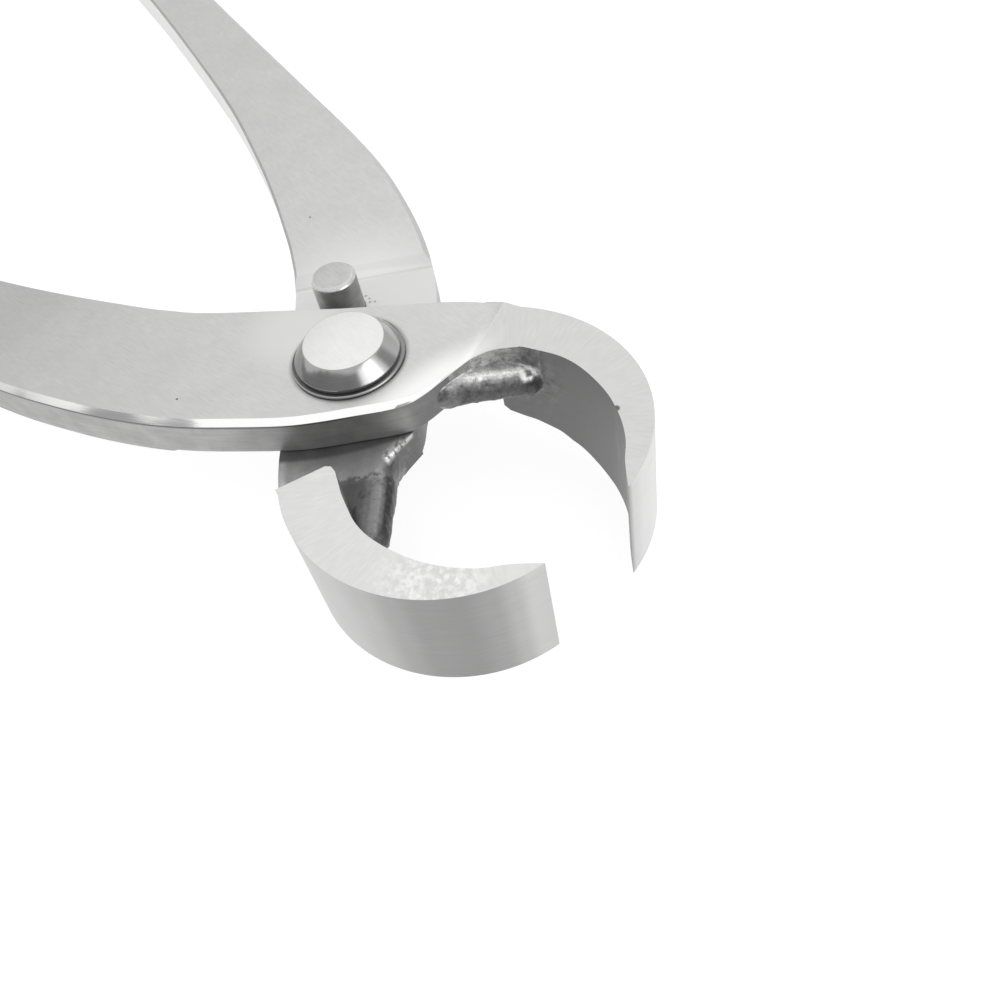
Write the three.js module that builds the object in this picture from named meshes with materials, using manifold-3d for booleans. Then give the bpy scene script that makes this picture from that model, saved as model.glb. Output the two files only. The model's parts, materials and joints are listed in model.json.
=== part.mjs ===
// Concave branch cutter: two forged stainless halves crossing at a riveted half-lap joint.
// Millimetres, +Z up along the pivot axis. The origin is the centre of the rivet head's flat top.
// +X points from the pivot to the cutting edges, and the handles run back along -X.
// Each half is drawn as it lies when the jaws are closed, with its jaw on +Y and its handle on -Y.
// The lower half is the mirror image, and both halves then turn apart to the stored opening.

import * as THREE from "three";
import { mergeVertices } from "three/addons/utils/BufferGeometryUtils.js";
import Module from "manifold-3d";

const wasm = await Module();
wasm.setup();

// Reach of the whole tool
const tipReach = 35.8;
const handleReach = 172;
const handleBow = 33;
const restOpeningDegrees = 17.8;

// Half-lap plates and handles
const lapRadius = 10.5;
const plateThickness = 4.6;
const lapGap = 0.15;
const handleThickness = 5.5;
const outerChamfer = 0.64;
const innerChamfer = 0.35;
const lapChamfer = 1.8;
const shoulderReach = 18.4;
const shoulderDegrees = 207.4;
const shoulderRun = 2.4;

// Jaws
const jawBack = 4.5;
const jawSpread = 0.8;
const jawWall = 5.7;
const jawWidth = 14.5;
const jawRelief = 4.75;
const reliefReach = 27;
const jawRise = 0.55;
const stepReach = 12.4;
const rampRun = 1.9;
const sideRampRun = 2.6;

// Web between plate and jaw
const webDrop = 0.9;
const webFall = 2.2;
const webRound = 2.2;

// Rivet, washer and collar
const headRadius = 5.85;
const headTopRadius = 4.46;
const headThickness = 2.2;
const headFlange = 0.45;
const shankRadius = 3;
const runningClearance = 0.08;
const washerRadius = 6.3;
const washerThickness = 0.3;
const washerChamfer = 0.1;
const collarHeight = 2.3;
const tailRadius = 3.8;
const tailFlare = 0.9;
const seatGap = 0.05;

// Stop pin
const pinRadius = 2.7;
const pinReach = 13.85;
const pinRise = 0.6;
const pinChamfer = 0.35;
const pinClearance = 0.3;
const pinFitGap = 0.05;

const overrun = 1;
const mergeDistance = 0.00005;
const cutterSize = 700;
const curveSteps = 4;
const endSteps = 16;
const roundSides = 64;
const searchSteps = 40;
const sharpestCorner = 0.6;

// Levels, from the top of the rivet head downwards
const upperTop = -(headThickness + washerThickness + 2 * seatGap);
const upperLapFace = upperTop - plateThickness;
const lowerLapFace = upperLapFace - lapGap;
const lowerBottom = lowerLapFace - plateThickness;
const upperHandleBottom = upperTop - handleThickness;
const lowerHandleTop = lowerBottom + handleThickness;
const jawTop = upperTop + jawRise;
const jawBottom = jawTop - jawWidth;
const jawRadius = (tipReach - jawBack) / 2;
const jawCentre = tipReach - jawRadius;

// Handle edges as shares of handleReach and handleBow, from the handle's end to the plate
const outerEdgeShares = [
  [-0.975, -1], [-0.9, -0.972], [-0.79, -0.935], [-0.68, -0.897], [-0.57, -0.862], [-0.465, -0.822],
  [-0.35, -0.79], [-0.29, -0.771], [-0.233, -0.748], [-0.19, -0.717], [-0.155, -0.678], [-0.12, -0.63],
  [-0.087, -0.572], [-0.058, -0.506], [-0.029, -0.421],
];
const innerEdgeShares = [
  [-0.975, -0.712], [-0.9, -0.704], [-0.79, -0.673], [-0.68, -0.628], [-0.61, -0.597], [-0.494, -0.53],
  [-0.378, -0.448], [-0.29, -0.355], [-0.233, -0.282], [-0.174, -0.191], [-0.145, -0.138], [-0.116, -0.07],
];

// Plate edges as shares of lapRadius, round the pivot from the handle to the jaw and back
const upperFrontShares = [
  [0, -1.03], [0.29, -0.8], [0.575, -0.538], [0.797, -0.333], [0.935, -0.172], [1.027, 0.005], [1.075, 0.165],
  [1.12, 0.345], [1.2, 0.61], [1.31, 0.79], [1.5, 0.94],
];
const lowerFrontShares = [
  [0, -1.03], [0.26, -0.76], [0.58, -0.43], [0.8, -0.25], [0.93, -0.1], [0.985, 0.06], [1.01, 0.2],
  [1.06, 0.36], [1.18, 0.63], [1.35, 0.86], [1.54, 1],
];
const rootShares = [[1.7, 1.2], [1.45, 1.42]];
// The front chamfer shrinks to the inner one between these heights
const throatFadeShares = [-0.4, 0.25];
const backEdgeShares = [[1.1, 1.428], [0.76, 1.385], [0.38, 1.2], [0, 0.955], [-0.38, 0.705], [-0.76, 0.46]];

// Jaw wall thickness as shares of jawWall, every ten degrees from the cutting edge
const jawWallShares = [0, 0.3, 0.425, 0.545, 0.655, 0.745, 0.825, 0.88, 0.92, 0.97, 1.03, 1.05];
const jawStepDegrees = 10;
const jawRootDegrees = 118;
const jawSpreadDegrees = 90;
// Inner end of the jaw's root: shares of stepReach and lapRadius
const rootCornerShares = [[1.1, 0.885], [1.03, 0.885], [0.995, 0.93]];
const stepTopShare = 0.935;
// Underside of the upper jaw towards its root: shares of reliefReach and jawRelief
const reliefShares = [
  [1, 0], [0.9, 0.095], [0.772, 0.28], [0.713, 0.478], [0.667, 0.57], [0.625, 0.65], [0.563, 0.74],
  [0.504, 0.85], [0.446, 1],
];

// Free edges of the webs as shares of stepReach and lapRadius, then their hidden edges
const upperWebShares = [
  [0.77, -0.08], [0.84, 0.03], [0.95, 0.17], [1.02, 0.29], [1.17, 0.486], [1.306, 0.676], [1.419, 0.857],
  [1.45, 0.97], [1.476, 1.105],
];
const lowerWebShares = [
  [0.83, 0.08], [0.905, 0.2], [1, 0.3], [1.17, 0.44], [1.3, 0.57], [1.48, 0.74], [1.57, 0.88], [1.66, 1.1],
];
const webRootShares = [[1.72, 1.25], [1.15, 1.25], [0.76, 0.8], [0.76, -0.15]];
const webCentreShares = [1.05, 0.86];
const webRoundShares = [1, 0.55, 0.24, 0.06, 0];
const deepestWebShare = 0.7;

// The ramps start on these lines, as shares of stepReach and lapRadius
const upperRampShares = [[0.9, 0.22], [0.7, 1.37]];
const lowerRampShares = [[1.1, 0.57], [0.7, 1.37]];

function degrees(angle) {
  return THREE.MathUtils.degToRad(angle);
}

function scaled(shares, xSize, ySize) {
  return shares.map(([x, y]) => new THREE.Vector2(x * xSize, y * ySize));
}

function smooth(points) {
  return new THREE.SplineCurve(points).getPoints((points.length - 1) * curveSteps);
}

function toSolid(geometry) {
  const bare = geometry.clone();
  bare.deleteAttribute("normal");
  bare.deleteAttribute("uv");
  const merged = mergeVertices(bare, mergeDistance);
  const mesh = new wasm.Mesh({
    numProp: 3,
    vertProperties: new Float32Array(merged.attributes.position.array),
    triVerts: new Uint32Array(merged.index.array),
  });
  return new wasm.Manifold(mesh);
}

function toMesh(name, solid, material) {
  const data = solid.getMesh();
  const geometry = new THREE.BufferGeometry();
  geometry.setAttribute("position", new THREE.BufferAttribute(data.vertProperties, data.numProp));
  geometry.setIndex(new THREE.BufferAttribute(data.triVerts, 1));
  geometry.computeVertexNormals();
  const mesh = new THREE.Mesh(geometry, material);
  mesh.name = name;
  return mesh;
}

// A closed body through rings of equal length, listed upwards, each counter-clockwise from above
function stack(rings) {
  const count = rings[0].length;
  const positions = rings.flat().flatMap((point) => point.toArray());
  const index = [];
  for (let ring = 0; ring < rings.length - 1; ring += 1) {
    for (let i = 0; i < count; i += 1) {
      const low = ring * count + i;
      const next = ring * count + ((i + 1) % count);
      index.push(low, next, next + count, low, next + count, low + count);
    }
  }
  const cap = (ring) => THREE.ShapeUtils.triangulateShape(ring.map((p) => new THREE.Vector2(p.x, p.y)), []);
  const lastRing = (rings.length - 1) * count;
  for (const [a, b, c] of cap(rings[0])) {
    index.push(c, b, a);
  }
  for (const [a, b, c] of cap(rings[rings.length - 1])) {
    index.push(lastRing + a, lastRing + b, lastRing + c);
  }
  const geometry = new THREE.BufferGeometry();
  geometry.setAttribute("position", new THREE.Float32BufferAttribute(positions, 3));
  geometry.setIndex(index);
  return toSolid(geometry);
}

function ringAt(outline, heights) {
  return outline.map((point, i) => new THREE.Vector3(point.x, point.y, heights[i]));
}

function level(outline, height) {
  return ringAt(outline, outline.map(() => height));
}

function prism(outline, bottom, top) {
  return stack([level(outline, bottom), level(outline, top)]);
}

// Moves each point of a counter-clockwise outline inwards by its own amount; sharp corners are held back
function inset(outline, amounts) {
  const count = outline.length;
  return outline.map((point, i) => {
    const before = outline[(i + count - 1) % count];
    const after = outline[(i + 1) % count];
    const into = point.clone().sub(before).normalize();
    const out = after.clone().sub(point).normalize();
    const along = into.clone().add(out).normalize();
    const stretch = 1 / Math.max(along.dot(out), sharpestCorner);
    return new THREE.Vector2(point.x - along.y * amounts[i] * stretch, point.y + along.x * amounts[i] * stretch);
  });
}

function chamferedPlate(outline, bottomAmounts, topAmounts, bottom, top) {
  return stack([
    level(inset(outline, bottomAmounts), bottom),
    ringAt(outline, bottomAmounts.map((amount) => bottom + amount)),
    ringAt(outline, topAmounts.map((amount) => top - amount)),
    level(inset(outline, topAmounts), top),
  ]);
}

function cylinder(radius, bottom, top, x, y) {
  const geometry = new THREE.CylinderGeometry(radius, radius, top - bottom, roundSides);
  geometry.rotateX(Math.PI / 2);
  geometry.translate(x, y, (top + bottom) / 2);
  return toSolid(geometry);
}

function latheSolid(profile) {
  const geometry = new THREE.LatheGeometry(profile.map(([x, y]) => new THREE.Vector2(x, y)), roundSides);
  geometry.rotateX(Math.PI / 2);
  return toSolid(geometry);
}

// A block that fills one side of a plane: its face passes through the origin, facing +X
function halfSpace() {
  const geometry = new THREE.BoxGeometry(cutterSize, cutterSize, cutterSize);
  geometry.translate(-cutterSize / 2, 0, 0);
  return geometry;
}

// The whole outline of handle and plate, with the chamfers that each point carries on both faces
function plateOutline(frontShares, throatLapChamfer) {
  const outerEdge = smooth([
    ...scaled(outerEdgeShares, handleReach, handleBow),
    ...scaled(frontShares, lapRadius, lapRadius),
  ]);
  const root = scaled(rootShares, lapRadius, lapRadius);
  const innerEdge = smooth([
    ...scaled(backEdgeShares, lapRadius, lapRadius),
    ...scaled(innerEdgeShares, handleReach, handleBow).reverse(),
  ]);
  const endOuter = outerEdge[0];
  const endInner = innerEdge[innerEdge.length - 1];
  const endCentre = endOuter.clone().add(endInner).divideScalar(2);
  const spoke = endInner.clone().sub(endCentre);
  const handleEnd = [];
  for (let i = 1; i < endSteps; i += 1) {
    handleEnd.push(spoke.clone().rotateAround(new THREE.Vector2(), (Math.PI * i) / endSteps).add(endCentre));
  }
  const [throatStart, throatEnd] = throatFadeShares.map((share) => share * lapRadius);
  const intoThroat = (point) => (point.x > 0 ? THREE.MathUtils.smoothstep(point.y, throatStart, throatEnd) : 0);
  const amounts = (throatChamfer) => [
    ...outerEdge.map((point) => THREE.MathUtils.lerp(outerChamfer, throatChamfer, intoThroat(point))),
    ...root.map(() => throatChamfer),
    ...innerEdge.map(() => innerChamfer),
    ...handleEnd.map((_, i) => THREE.MathUtils.lerp(innerChamfer, outerChamfer, (i + 1) / endSteps)),
  ];
  return {
    outline: [...outerEdge, ...root, ...innerEdge, ...handleEnd],
    outsideAmounts: amounts(innerChamfer),
    lapAmounts: amounts(throatLapChamfer),
    innerEdge,
  };
}

function jawOuter(angle) {
  const radius = jawRadius + jawSpread * (angle / jawSpreadDegrees) ** 2;
  return { radius, x: jawCentre, angle };
}

function polar({ radius, x, angle }) {
  return new THREE.Vector2(x + radius * Math.cos(degrees(angle)), radius * Math.sin(degrees(angle)));
}

function jawOutline() {
  const innerAngles = jawWallShares.map((_, i) => i * jawStepDegrees);
  const outer = [];
  const outerStep = jawStepDegrees / curveSteps;
  for (let angle = 0; angle <= jawRootDegrees; angle += outerStep) {
    outer.push(polar(jawOuter(angle)));
  }
  const stepTop = polar(jawOuter(jawRootDegrees));
  stepTop.x = stepTopShare * stepReach;
  const inner = smooth(innerAngles.map((angle, i) => {
    const curve = jawOuter(angle);
    return polar({ ...curve, radius: curve.radius - jawWall * jawWallShares[i] });
  }));
  const corner = scaled(rootCornerShares, stepReach, lapRadius);
  const wall = inner.filter((point) => point.x > corner[0].x);
  return [...outer, stepTop, ...corner.reverse(), ...wall.reverse().slice(0, -1)];
}

// Joins a plate's face to the jaw's wider side: a block over the plate's root under a sloping plane
function sideRamp(outline, startShares, face, side, run) {
  const [start, end] = scaled(startShares, stepReach, lapRadius);
  const direction = end.clone().sub(start);
  const turn = Math.atan2(direction.y, direction.x) - Math.PI / 2;
  const rise = side - face;
  const outward = Math.sign(rise);
  const inner = face - outward * overrun;
  const cutter = halfSpace();
  cutter.rotateY(-outward * (Math.PI / 2 + Math.atan2(Math.abs(rise), run)));
  cutter.rotateZ(turn);
  cutter.translate(start.x, start.y, face);
  return prism(outline, Math.min(inner, side), Math.max(inner, side)).intersect(toSolid(cutter));
}

// The web's faces fall away from the plate's levels on the way to the jaw
function web(edgeShares, bottom, top, fall) {
  const freeEdge = smooth(scaled(edgeShares, stepReach, lapRadius));
  const outline = [...freeEdge, ...scaled(webRootShares, stepReach, lapRadius)];
  const last = freeEdge.length - 1;
  const fade = outline.map((_, i) => Math.max(0, Math.min(1, i / curveSteps, (last - i) / curveSteps)));
  const quarter = Math.PI / 2 / (webRoundShares.length - 1);
  const depth = (i) => ((top - bottom) / 2) * (1 - Math.cos(quarter * i));
  const [centre] = scaled([webCentreShares], stepReach, lapRadius);
  const reach = outline.map((point) => Math.min(webRound / point.distanceTo(centre), deepestWebShare));
  const wayAlong = (x) => (x - stepReach) / (jawCentre - stepReach);
  const ring = (share, height) => {
    const points = outline.map((point, i) => point.clone().lerp(centre, fade[i] * share * reach[i]));
    return ringAt(points, points.map((point) => height - fall * wayAlong(point.x)));
  };
  const lowHalf = webRoundShares.map((share, i) => ring(share, bottom + depth(i)));
  const highHalf = webRoundShares.slice(0, -1).map((share, i) => ring(share, top - depth(i)));
  return stack([...lowHalf, ...highHalf.reverse()]);
}

// Takes the upper jaw's underside up towards its root
function relief() {
  const lowest = jawBottom - overrun;
  const outline = [
    new THREE.Vector2(0, lowest),
    new THREE.Vector2(reliefReach, lowest),
    ...reliefShares.map(([x, rise]) => new THREE.Vector2(x * reliefReach, jawBottom + rise * jawRelief)),
    new THREE.Vector2(0, jawBottom + jawRelief),
  ];
  return prism(outline, -tipReach, tipReach).rotate([90, 0, 0]);
}

const upperPlate = plateOutline(upperFrontShares, lapChamfer);
const lowerPlate = plateOutline(lowerFrontShares, innerChamfer);
const jaw = jawOutline();

// One half from its levels: lapFace is the face that meets the other half
function makeHalf({
  plate, top, bottom, lapFace, lapSide, webShares, webLevels, fall, rampShares, rampFace, rampSide, run,
}) {
  const faces = [plate.lapAmounts, plate.outsideAmounts];
  const [bottomAmounts, topAmounts] = lapSide > 0 ? faces.reverse() : faces;
  const body = chamferedPlate(plate.outline, bottomAmounts, topAmounts, bottom, top);
  const recess = halfSpace();
  recess.rotateY(lapSide * Math.atan2(shoulderRun, handleThickness - plateThickness));
  recess.rotateZ(degrees(shoulderDegrees));
  recess.translate(
    shoulderReach * Math.cos(degrees(shoulderDegrees)),
    shoulderReach * Math.sin(degrees(shoulderDegrees)),
    lapFace,
  );
  const recessDepth = handleThickness + overrun;
  const recessLevels = lapSide > 0 ? [lapFace, lapFace + recessDepth] : [lapFace - recessDepth, lapFace];
  const slab = new THREE.BoxGeometry(cutterSize, cutterSize, recessDepth);
  slab.translate(0, 0, (recessLevels[0] + recessLevels[1]) / 2);
  const recessSolid = toSolid(recess).intersect(toSolid(slab));
  const bore = cylinder(shankRadius + runningClearance, jawBottom - overrun, jawTop + overrun, 0, 0);
  return body
    .subtract(recessSolid)
    .add(prism(jaw, jawBottom, jawTop))
    .add(web(webShares, ...webLevels, fall))
    .add(sideRamp(plate.outline, rampShares, rampFace, rampSide, run))
    .subtract(bore);
}

function mirrored(solid) {
  return solid.mirror([0, 1, 0]);
}

// The stop pin stands on a circle round the pivot, where it meets the other handle as the jaws close
function stopPinPlace() {
  const reachTo = pinRadius + pinClearance;
  const gapAt = (angle) => {
    const spot = new THREE.Vector2(Math.cos(angle), Math.sin(angle)).multiplyScalar(pinReach);
    return Math.min(...upperPlate.innerEdge.map((point) => point.distanceTo(spot)));
  };
  let near = Math.PI;
  let far = Math.PI / 2;
  for (let i = 0; i < searchSteps; i += 1) {
    const middle = (near + far) / 2;
    if (gapAt(middle) < reachTo) {
      near = middle;
    } else {
      far = middle;
    }
  }
  return new THREE.Vector2(Math.cos(near), Math.sin(near)).multiplyScalar(pinReach);
}

function rivet() {
  const shankEnd = lowerBottom - collarHeight;
  const flangeTop = -(headThickness - headFlange);
  return latheSolid([
    [0, shankEnd],
    [tailRadius, shankEnd],
    [shankRadius, shankEnd + tailFlare],
    [shankRadius, -headThickness],
    [headRadius, -headThickness],
    [headRadius, flangeTop],
    [headTopRadius, 0],
    [0, 0],
  ]);
}

function ringProfile(inner, outer, bottom, top, chamfer) {
  return [
    [inner, bottom],
    [outer, bottom],
    [outer, top - chamfer],
    [outer - chamfer, top],
    [inner, top],
    [inner, bottom],
  ];
}

function washer() {
  const bottom = upperTop + seatGap;
  const inner = shankRadius + runningClearance;
  return latheSolid(ringProfile(inner, washerRadius, bottom, bottom + washerThickness, washerChamfer));
}

function collar() {
  const top = lowerBottom - seatGap;
  const bottom = lowerBottom - collarHeight;
  const bore = shankRadius + runningClearance;
  const sink = tailRadius + runningClearance;
  return latheSolid([
    [sink, bottom],
    [headTopRadius, bottom],
    [headRadius, top - headFlange],
    [headRadius, top],
    [bore, top],
    [bore, bottom + tailFlare + runningClearance],
    [sink, bottom],
  ]);
}

const pinPlace = stopPinPlace();

function stopPin() {
  const top = upperTop + pinRise;
  const profile = [
    [0, lowerBottom],
    [pinRadius, lowerBottom],
    [pinRadius, top - pinChamfer],
    [pinRadius - pinChamfer, top],
    [0, top],
  ];
  return latheSolid(profile).translate([pinPlace.x, pinPlace.y, 0]);
}

const steel = { color: 0xc8c8c6, roughness: 0.38, metalness: 1 };
const polished = { color: 0xd8d8d8, roughness: 0.22, metalness: 1 };

const upper = new THREE.Group();
upper.rotation.z = degrees(restOpeningDegrees / 2);
upper.add(toMesh("upper_half", makeHalf({
  plate: upperPlate,
  top: upperTop,
  bottom: upperHandleBottom,
  lapFace: upperLapFace,
  lapSide: -1,
  webShares: upperWebShares,
  webLevels: [upperLapFace, upperTop - webDrop],
  fall: webFall,
  rampShares: upperRampShares,
  rampFace: upperTop,
  rampSide: jawTop,
  run: rampRun,
}).subtract(relief()), new THREE.MeshStandardMaterial(steel)));

const lower = new THREE.Group();
lower.rotation.z = -degrees(restOpeningDegrees / 2);
const pinHole = cylinder(pinRadius + pinFitGap, lowerBottom - overrun, jawTop, pinPlace.x, pinPlace.y);
lower.add(toMesh("lower_half", mirrored(makeHalf({
  plate: lowerPlate,
  top: lowerHandleTop,
  bottom: lowerBottom,
  lapFace: lowerLapFace,
  lapSide: 1,
  webShares: lowerWebShares,
  webLevels: [lowerBottom + lapGap, lowerLapFace - lapGap],
  fall: 0,
  rampShares: lowerRampShares,
  rampFace: lowerBottom,
  rampSide: jawBottom,
  run: sideRampRun,
})).subtract(pinHole), new THREE.MeshStandardMaterial(steel)));
lower.add(toMesh("stop_pin", stopPin(), new THREE.MeshStandardMaterial(polished)));

const tool = new THREE.Group();
tool.add(upper, lower);
tool.add(toMesh("pivot_rivet", rivet(), new THREE.MeshStandardMaterial(polished)));
tool.add(toMesh("pivot_washer", washer(), new THREE.MeshStandardMaterial(polished)));
tool.add(toMesh("pivot_collar", collar(), new THREE.MeshStandardMaterial(polished)));

export default tool;
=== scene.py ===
"""Finished look of a concave branch cutter.

Two forged halves, a turned rivet with its washer and collar, and a stop pin, on a pale table.
"""

import json
import math
from contextlib import contextmanager

import bpy
from mathutils import Matrix, Vector

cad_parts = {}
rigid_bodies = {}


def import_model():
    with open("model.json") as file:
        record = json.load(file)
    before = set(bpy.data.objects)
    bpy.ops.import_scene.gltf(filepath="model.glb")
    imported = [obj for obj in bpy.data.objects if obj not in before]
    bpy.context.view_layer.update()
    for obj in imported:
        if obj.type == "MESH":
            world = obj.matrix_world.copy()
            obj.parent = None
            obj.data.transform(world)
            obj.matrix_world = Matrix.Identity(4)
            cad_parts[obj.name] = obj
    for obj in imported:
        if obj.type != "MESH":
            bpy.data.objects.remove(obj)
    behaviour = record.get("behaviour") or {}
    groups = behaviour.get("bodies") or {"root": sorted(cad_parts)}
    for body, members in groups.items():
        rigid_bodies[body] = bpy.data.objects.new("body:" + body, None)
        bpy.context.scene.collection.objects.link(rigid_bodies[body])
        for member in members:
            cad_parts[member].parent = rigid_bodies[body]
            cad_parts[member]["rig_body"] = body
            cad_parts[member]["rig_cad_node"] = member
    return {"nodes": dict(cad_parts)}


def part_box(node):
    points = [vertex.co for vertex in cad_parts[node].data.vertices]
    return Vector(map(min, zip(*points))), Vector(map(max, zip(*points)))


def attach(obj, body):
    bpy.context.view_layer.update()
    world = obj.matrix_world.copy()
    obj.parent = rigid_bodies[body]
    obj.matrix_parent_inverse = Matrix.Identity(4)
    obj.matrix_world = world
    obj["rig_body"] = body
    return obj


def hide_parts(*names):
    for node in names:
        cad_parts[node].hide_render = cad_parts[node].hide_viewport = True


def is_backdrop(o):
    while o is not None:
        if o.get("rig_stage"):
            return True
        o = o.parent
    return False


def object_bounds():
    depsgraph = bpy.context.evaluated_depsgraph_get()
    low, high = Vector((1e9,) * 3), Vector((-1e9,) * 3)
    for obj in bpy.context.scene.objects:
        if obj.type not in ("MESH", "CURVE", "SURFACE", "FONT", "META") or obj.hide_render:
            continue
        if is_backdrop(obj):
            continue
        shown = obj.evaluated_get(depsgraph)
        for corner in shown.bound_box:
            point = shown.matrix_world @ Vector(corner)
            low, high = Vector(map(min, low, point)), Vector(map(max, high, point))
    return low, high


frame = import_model()
cad_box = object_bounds()

bl_info = {
    "name": "Concave Branch Cutter",
    "version": (1, 0, 0),
    "blender": (4, 5, 0),
    "location": "3D View > Sidebar > Cutter",
    "description": "Finishes a packed concave branch cutter: halves, rivet, stop pin and studio",
    "category": "Add Mesh",
}

MM = 0.001
REST_OPENING = math.radians(17.8)
UPPER = 1
LOWER = -1

# Heights of the CAD faces in mm, counted upwards from the rivet head's top
UPPER_TOP = -2.6
UPPER_LAP = -7.2
LOWER_HANDLE_TOP = -6.45
LOWER_LAP = -7.35
JAW_TOP = -2.05
JAW_BOTTOM = -16.55
# Heights that differ by less than this, in mm, count as one
LEVEL_SLACK = 0.03
# Size of the outer chamfer, and how near to a top face its faces lie, in mm
OUTER_CHAMFER = 0.64
CHAMFER_ZONE = 0.7
# Upward share of a face's direction: level above the first, sloping above the second, else upright
LEVEL_LEAN = 0.9
SLOPING_LEAN = 0.3
# Where faces count as part of the jaw or of the handle, in mm along the closed half
JAW_START = 12
HANDLE_START = -13

# The jaws' outer curve, in mm in the plane of a closed half
JAW_CENTRE = 20.15
JAW_RADIUS = 15.65

# Profiles of the turned pieces, as (radius, height) in mm
RIVET_PROFILE = ((4.46, 0), (5.85, -1.75), (5.85, -2.2), (3.0, -2.2), (3.0, -13.35), (3.8, -14.25))
WASHER_PROFILE = (
    (3.08, -2.55), (6.3, -2.55), (6.3, -2.35), (6.2, -2.25), (3.08, -2.25), (3.08, -2.55),
)
COLLAR_PROFILE = (
    (3.88, -14.25), (4.46, -14.25), (5.85, -12.45), (5.85, -12.0), (3.08, -12.0), (3.08, -13.27),
    (3.88, -14.25),
)
# Height and width of the stop pin's bevel in mm
PIN_BEVEL = 0.35
# Rounding of the turned edges in metres, and the smallest upright side in square metres
TURNED_ROUND = 0.00008
SMALLEST_SIDE = 3e-8

# Meshes: points this close in metres are merged, and faces this level with each other are joined
MERGE_DISTANCE = 2e-6
TURNED_MERGE = 1e-7
LEVEL_ANGLE = math.radians(0.6)
# Edges that bend by more than the first and less than the second are rounded
ROUNDED_FROM = math.radians(28)
ROUNDED_TO = math.radians(110)
# Bends up to the first are shaded smooth on the halves, up to the second on the turned pieces
HALF_SMOOTH = math.radians(35)
TURNED_SMOOTH = math.radians(32)
# Flat faces that bend by more than this keep a crisp edge
CRISP_BEND = math.radians(2)

# Boxes in mm on the closed half that hold the faces of the webs' skin
UPPER_WEB = ((11.6, 19.6), (1.6, 12.4), (-9, -2.1))
UPPER_WEB_START = ((11.2, 19.6), (1, 12.4), (-9, -3.5))
LOWER_WEB = ((10.6, 20.7), (0.7, 12.4), (-11.9, -7.4))
# Spans along each axis of the closed half in which that skin is cut, in mm
WEB_SPANS = {
    UPPER: ((8.4, 20.6), (-2.4, 12.4), (-9.6, -2.2)),
    LOWER: ((8.4, 20.6), (-2.4, 12.4), (-12.0, -7.3)),
}
# Rounds of smoothing over the webs' skin, then over the lower web's upper edge down to a depth in mm
SKIN_ROUNDS = 8
BROW_ROUNDS = 24
BROW_DEPTH = 0.6
# Spacing of the lumps in metres
LUMP_SIZE = 0.0009

# Marks on the halves, with the lines of the painted shade at the shoulder and the painted highlight on the
# ramp, in mm on the closed half
UPPER_SPECK = (-12.76, -14.32, UPPER_TOP)
LOWER_SPECK = (-31.07, -10.64, LOWER_HANDLE_TOP)
JAW_NICK = (29.5, 7.67, JAW_TOP)
SHOULDER_PLACE = (-15.3, -11.1, 0)
SHOULDER_WAY = (0.88, 0.475, 0)
RAMP_PLACE = (11.16, 2.31, 0)
RAMP_WAY = (0.98, 0.2, 0)
# The upper plate's edge as an arc over the lower lap, with the start and end of its shade, in mm
PLATE_ARC_CENTRE = (-24.04, -9.25, LOWER_LAP)
PLATE_ARC_SHADE = (35.45, 34.75)

# Places of the pits in the upper web's skin, painted dark as shade, with their reach, in mm
WEB_PITS = (
    ((16.95, 9.62, -5.08), 0.42),
    ((14.38, 5.58, -4.71), 0.2),
    ((12.59, 3.71, -3.92), 0.16),
)
# Slivers where the upper web's hidden corner meets the plate's chamfer: place and reach in mm
WEB_SLIVERS = (((9.355, -1.494, -2.6), 0.16), ((10.091, -1.342, -3.116), 0.13))
# The burr round the largest pit, painted bright as a highlight, and the painted highlight on the brightest
# spot of the crest
WEB_BLOB = (17.0, 9.3, -5.2)
WEB_HIGHLIGHT = (13.6, 5.6, -4.1)
# Specks of burr on the lower lap beside the stop pin
PIN_BURR = ((-13.0, -8.5), (-12.3, -8.6), (-11.7, -8.3), (-11.4, -8.8))

# Camera of the photograph's view, in mm in the row frame
CAMERA_PLACE = (75.369, -35.934, 71.437)
CAMERA_RIGHT = (0.69054, 0.71036, -0.13618)
CAMERA_DOWN = (0.50938, -0.61127, -0.6057)
CAMERA_FORWARD = (-0.51351, 0.34889, -0.78395)
CAMERA_FOCAL_SHARE = 1.00415
SENSOR_WIDTH = 36

# Nearest distance that the camera sees, in metres
CAMERA_CLIP = 0.005

# Studio: the table's height is in mm, the other lengths are in metres
TABLE_HEIGHT = JAW_BOTTOM - 0.1
TABLE_SIZE = 6
TABLE_TONE = 0.24
TABLE_GLOW = 0.88
LAMP_PLACE = (-0.25, 0.3, 0.55)
LAMP_SIZE = 0.8
RING_RADIUS = 0.4
RING_HEIGHT = 1.2 * RING_RADIUS
RING_GAIN = 3.5
# Half the width of the cards' soft upper border, as a share of the ring's radius
CARD_FADE = 0.022
# Bearing of each card in degrees, its brightness, and the elevation of its top edge in degrees
RING_CARDS = (
    (-180, 0.8, 0), (-160, 0.5, 1), (-147, 0.36, 4), (-138, 0.33, 6.5), (-128, 0.33, 12.5), (-120, 0.33, 19),
    (-105, 0.32, 28), (-89, 0.34, 34), (-62, 0.37, 38.5), (-46, 0.34, 38.5), (-26, 0.4, 39), (-8, 2.2, 40.5),
    (6, 3.4, 41), (22, 3.2, 40), (35, 1.4, 36), (48, 0.5, 31), (60, 0.52, 27), (75, 1.0, 22), (95, 0.9, 12),
    (180, 0.8, 0),
)


# Small tools

def focus(piece):
    bpy.ops.object.select_all(action="DESELECT")
    piece.select_set(True)
    bpy.context.view_layer.objects.active = piece


@contextmanager
def editing(piece, mode="FACE"):
    focus(piece)
    bpy.ops.object.mode_set(mode="EDIT")
    bpy.ops.mesh.select_mode(type=mode)
    yield
    bpy.ops.object.mode_set(mode="OBJECT")


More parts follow.
